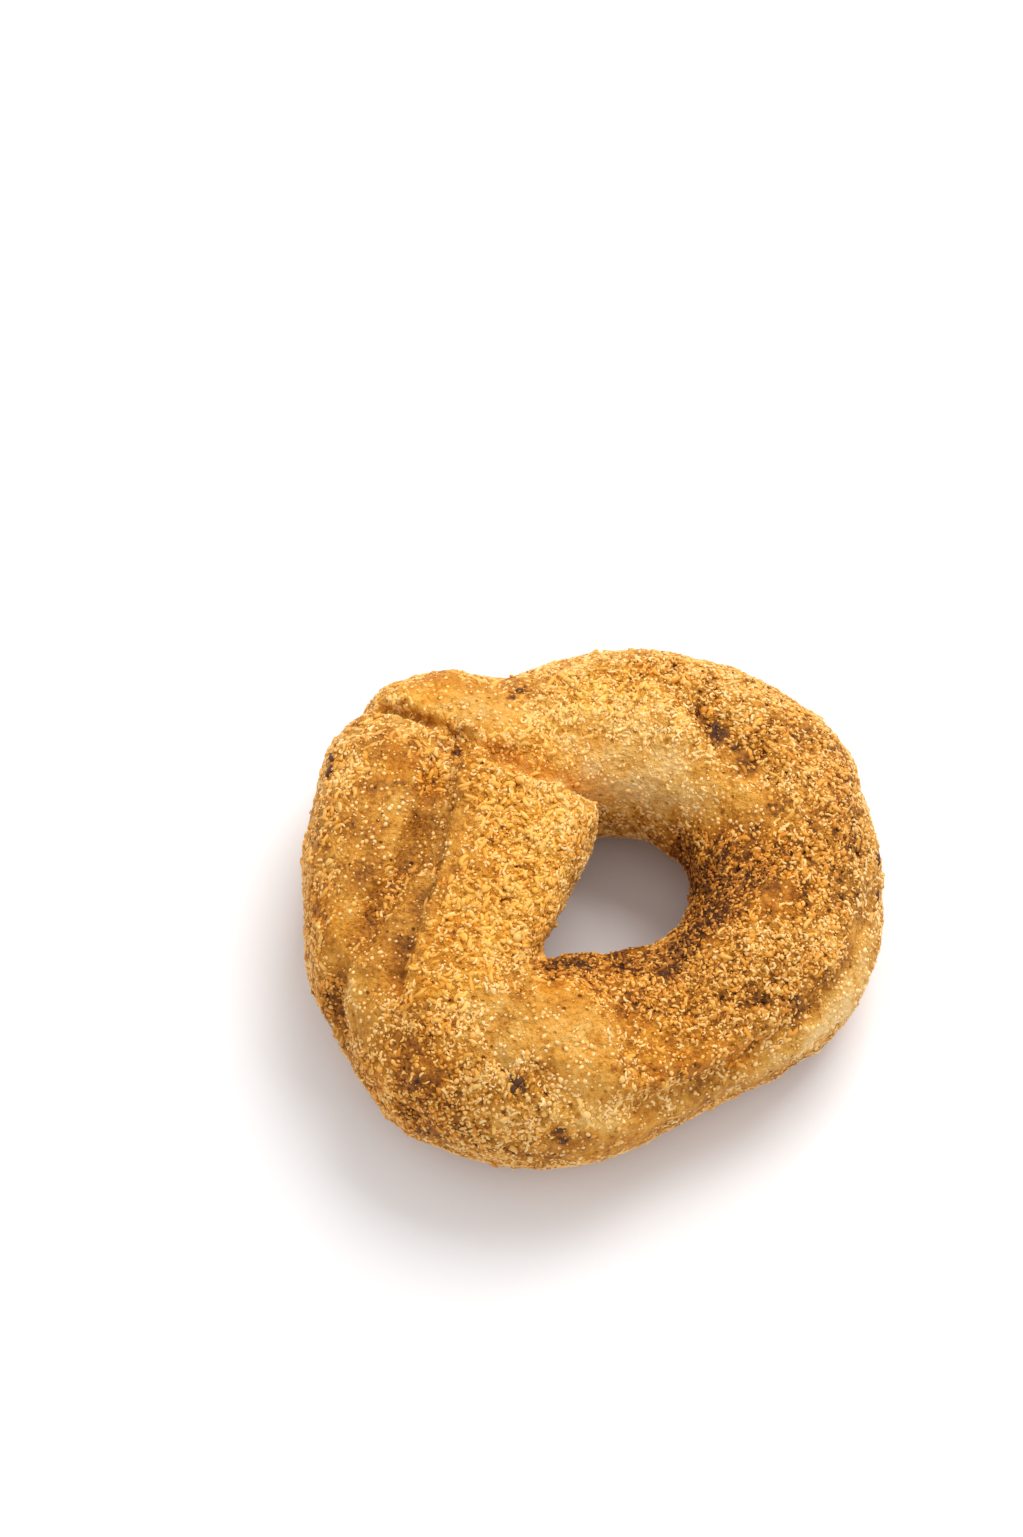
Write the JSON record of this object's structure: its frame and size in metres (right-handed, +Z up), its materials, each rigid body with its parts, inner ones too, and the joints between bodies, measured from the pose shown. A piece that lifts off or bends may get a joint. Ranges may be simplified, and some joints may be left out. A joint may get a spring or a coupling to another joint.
{
  "type": "tarallo",
  "caption": "Ring-shaped baked tarallo: a crumb-coated rope of dough bent into a loop, with its broad flattened end lapped over the start beside a D-shaped hole.",
  "frame": {"origin": "under the middle of the biscuit's outline, on the plane it rests on", "axes": "+Z up out of the tray, +X towards the right of the picture with the lapped end on the left, +Y towards the back"},
  "size_m": [0.079, 0.0748, 0.0276],
  "materials": {
    "crust": "matte golden-brown baked crust with pale sugar and crumb grains"
  },
  "bodies": {
    "root": {"tarallo": "crust"}
  },
  "joints": []
}
